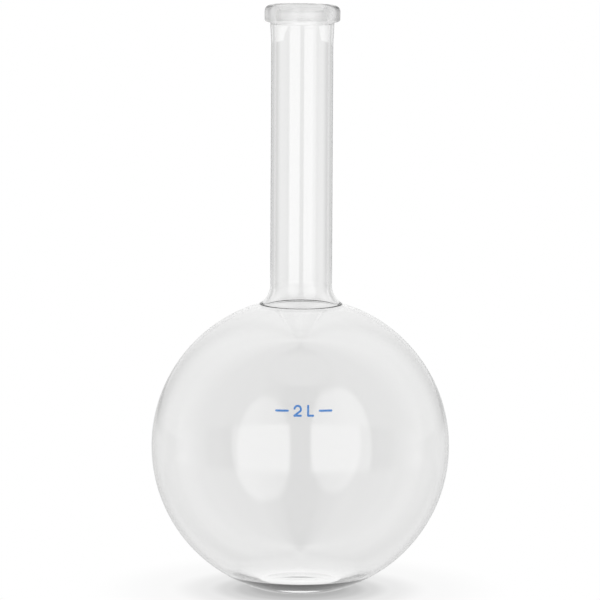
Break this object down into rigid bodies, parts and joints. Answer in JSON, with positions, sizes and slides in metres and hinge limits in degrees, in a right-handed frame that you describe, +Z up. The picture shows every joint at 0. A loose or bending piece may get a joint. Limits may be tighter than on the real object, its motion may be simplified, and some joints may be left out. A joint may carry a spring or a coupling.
{
  "type": "boiling flask",
  "caption": "Clear glass round flask with a long straight neck, heavy tooled lip and a small flat to stand on, for boiling and holding liquids.",
  "frame": {"origin": "centre of the flat under the bulb, where the flask stands", "axes": "+Z up the neck along the flask's axis; -Y is the front, which carries the capacity mark; +X to the right seen from the front"},
  "size_m": [0.166, 0.166, 0.326],
  "materials": {
    "clear_glass": "polished",
    "blue_enamel": "satin"
  },
  "bodies": {
    "root": {"bulb": "clear_glass", "neck_seal": "clear_glass", "neck_tube": "clear_glass", "rim": "clear_glass", "capacity_mark": "blue_enamel"}
  },
  "joints": []
}
